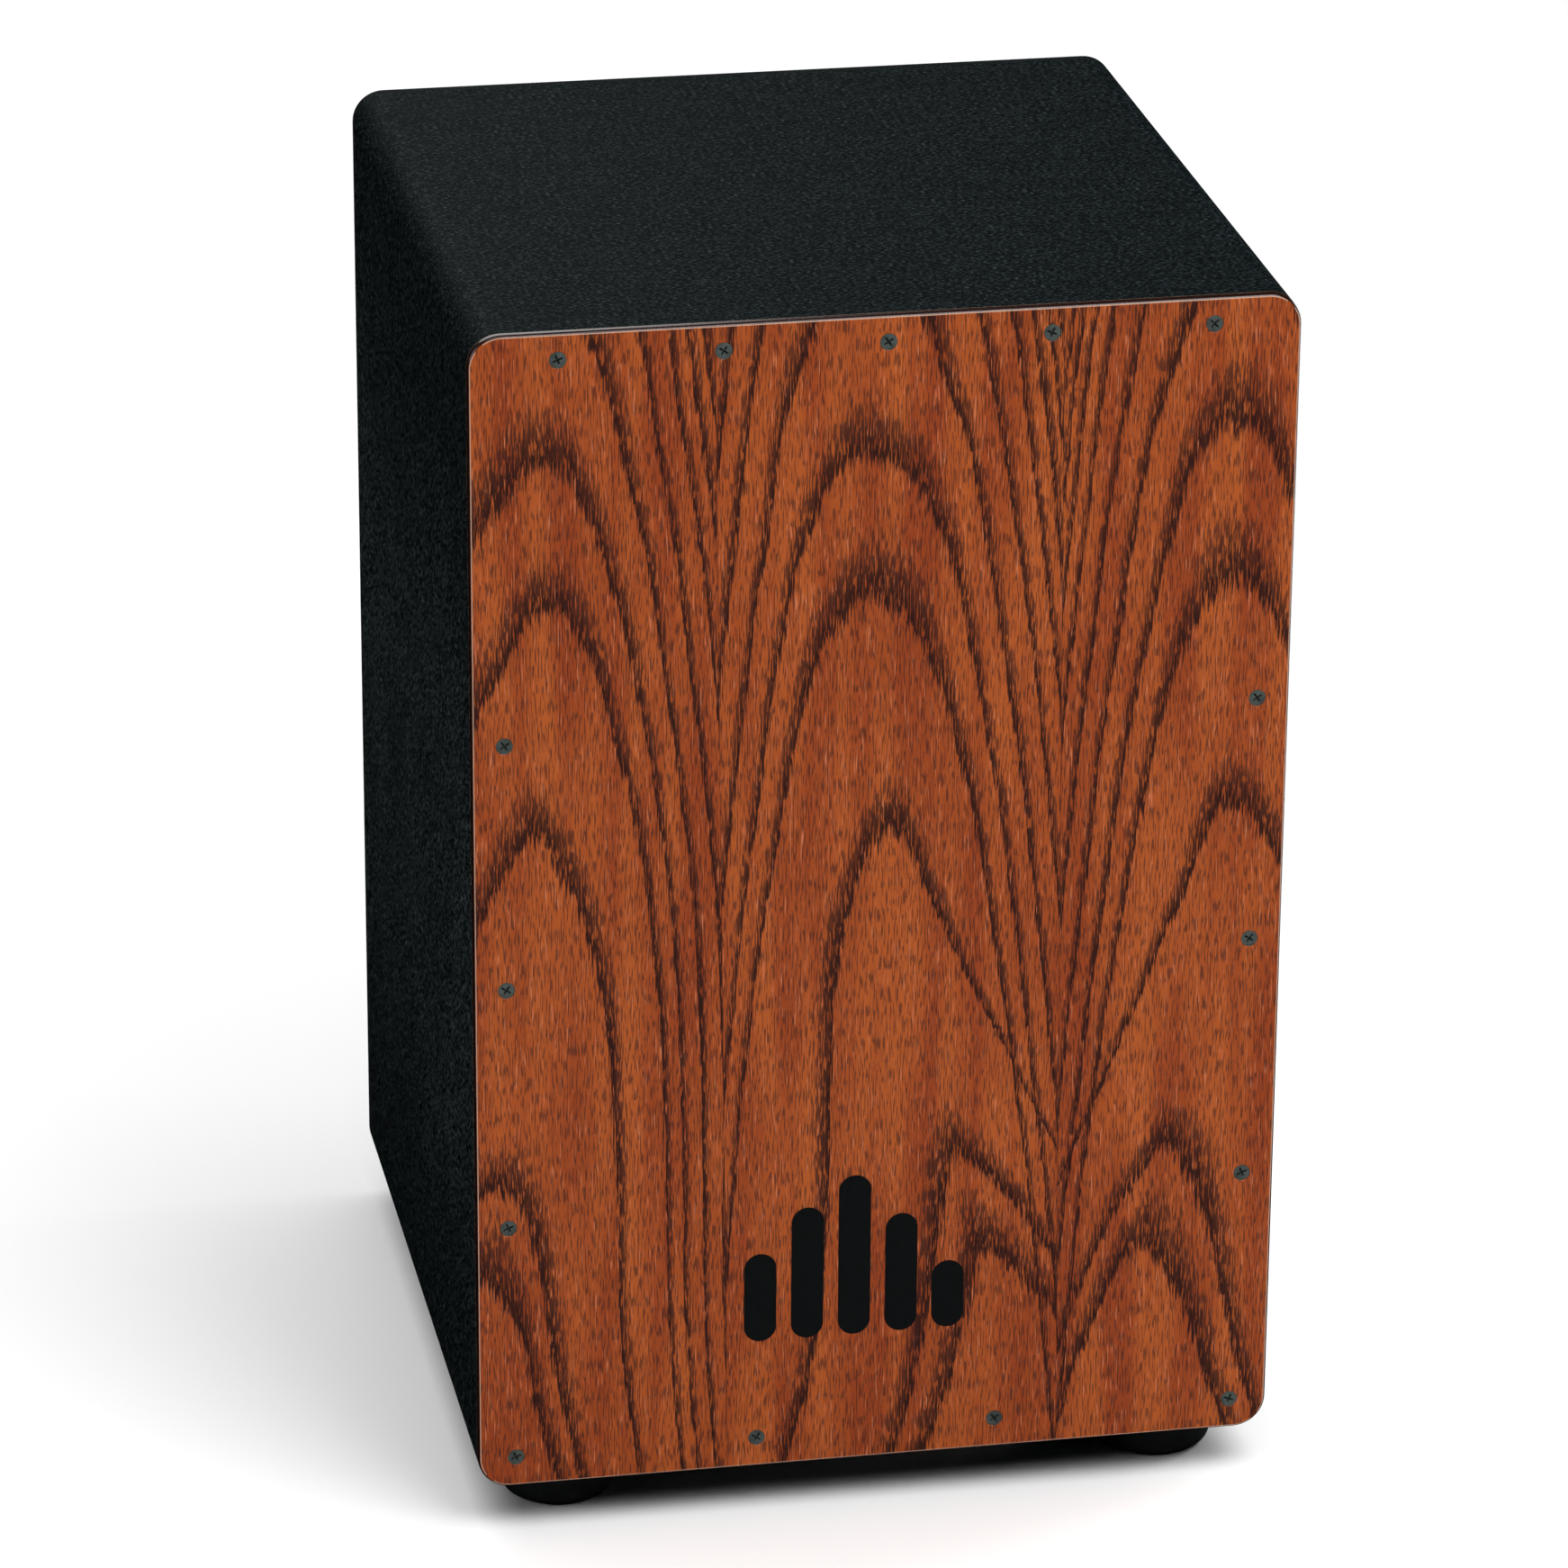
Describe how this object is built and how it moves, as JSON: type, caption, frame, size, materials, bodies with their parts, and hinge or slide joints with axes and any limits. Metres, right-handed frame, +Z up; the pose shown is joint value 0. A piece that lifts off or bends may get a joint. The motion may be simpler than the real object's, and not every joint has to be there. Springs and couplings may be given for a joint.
{
  "type": "cajon",
  "caption": "Upright wooden box drum with a thin screwed-on front plate to strike, a round sound port at the back, rubber feet and snare strings tuned from below.",
  "frame": {"origin": "on the floor, under the middle of the box and its feet", "axes": "+Z up, the front plate faces -Y, +X to the right of someone facing the front plate"},
  "size_m": [0.3, 0.3, 0.468],
  "materials": {
    "black_shell": "black satin lacquer over open grain",
    "stained_ash": "book-matched ash veneer, orange-brown stain, gloss lacquer",
    "bare_batten": "planed, unfinished",
    "gunmetal_screw": "dark zinc, cross recess",
    "black_rubber": "matt moulded",
    "zinc_hardware": "bright zinc",
    "bracket_steel": "black powder coat",
    "blackened_screw": "black oxide",
    "string_steel": "bright wire",
    "brass_fitting": "turned and milled"
  },
  "bodies": {
    "box": {"top_panel": "black_shell", "bottom_panel": "black_shell", "left_side_panel": "black_shell", "right_side_panel": "black_shell", "back_panel": "black_shell", "front_plate": "stained_ash", "front_batten_top": "bare_batten", "front_batten_bottom": "bare_batten", "front_batten_left": "bare_batten", "front_batten_right": "bare_batten", "rear_batten_top": "bare_batten", "rear_batten_bottom": "bare_batten", "rear_batten_left": "bare_batten", "rear_batten_right": "bare_batten", "corner_batten_top_left": "bare_batten", "corner_batten_top_right": "bare_batten", "corner_batten_bottom_left": "bare_batten", "corner_batten_bottom_right": "bare_batten", "plate_screws_top": "gunmetal_screw", "plate_screws_left": "gunmetal_screw", "plate_screws_right": "gunmetal_screw", "plate_screws_bottom": "gunmetal_screw", "foot_front_left": "black_rubber", "foot_front_right": "black_rubber", "foot_rear_left": "black_rubber", "foot_rear_right": "black_rubber", "foot_washers": "zinc_hardware", "foot_screws": "zinc_hardware", "tuner_bracket": "bracket_steel", "tuner_bracket_screws": "zinc_hardware", "anchor_bracket": "bracket_steel", "anchor_bracket_screws": "zinc_hardware", "left_tension_bush": "brass_fitting", "right_tension_bush": "brass_fitting", "string_left_outer": "string_steel", "string_left_inner": "string_steel", "string_right_inner": "string_steel", "string_right_outer": "string_steel"},
    "left_screw": {"left_tension_screw": "blackened_screw"},
    "right_screw": {"right_tension_screw": "blackened_screw"},
    "left_carriage": {"left_string_carriage": "brass_fitting"},
    "right_carriage": {"right_string_carriage": "brass_fitting"}
  },
  "joints": [
    {"name": "left_screw_turn", "type": "hinge", "parent": "box", "child": "left_screw", "pos_m": [-0.025, -0.1395, 0.0229], "axis": [0, 0, 1], "range_deg": [-1440, 720]},
    {"name": "left_carriage_slide", "type": "slide", "parent": "box", "child": "left_carriage", "axis": [0, 0, 1], "range_m": [-0.0016, 0.0032], "deforming": ["string_left_outer", "string_left_inner"]},
    {"name": "right_screw_turn", "type": "hinge", "parent": "box", "child": "right_screw", "pos_m": [0.025, -0.1395, 0.0229], "axis": [0, 0, 1], "range_deg": [-1440, 720]},
    {"name": "right_carriage_slide", "type": "slide", "parent": "box", "child": "right_carriage", "axis": [0, 0, 1], "range_m": [-0.0016, 0.0032], "deforming": ["string_right_outer", "string_right_inner"]}
  ],
  "couplings": [
    {"joint": "left_screw_turn", "follows": "left_carriage_slide", "rad_per_m": -7854},
    {"joint": "right_screw_turn", "follows": "right_carriage_slide", "rad_per_m": -7854}
  ]
}
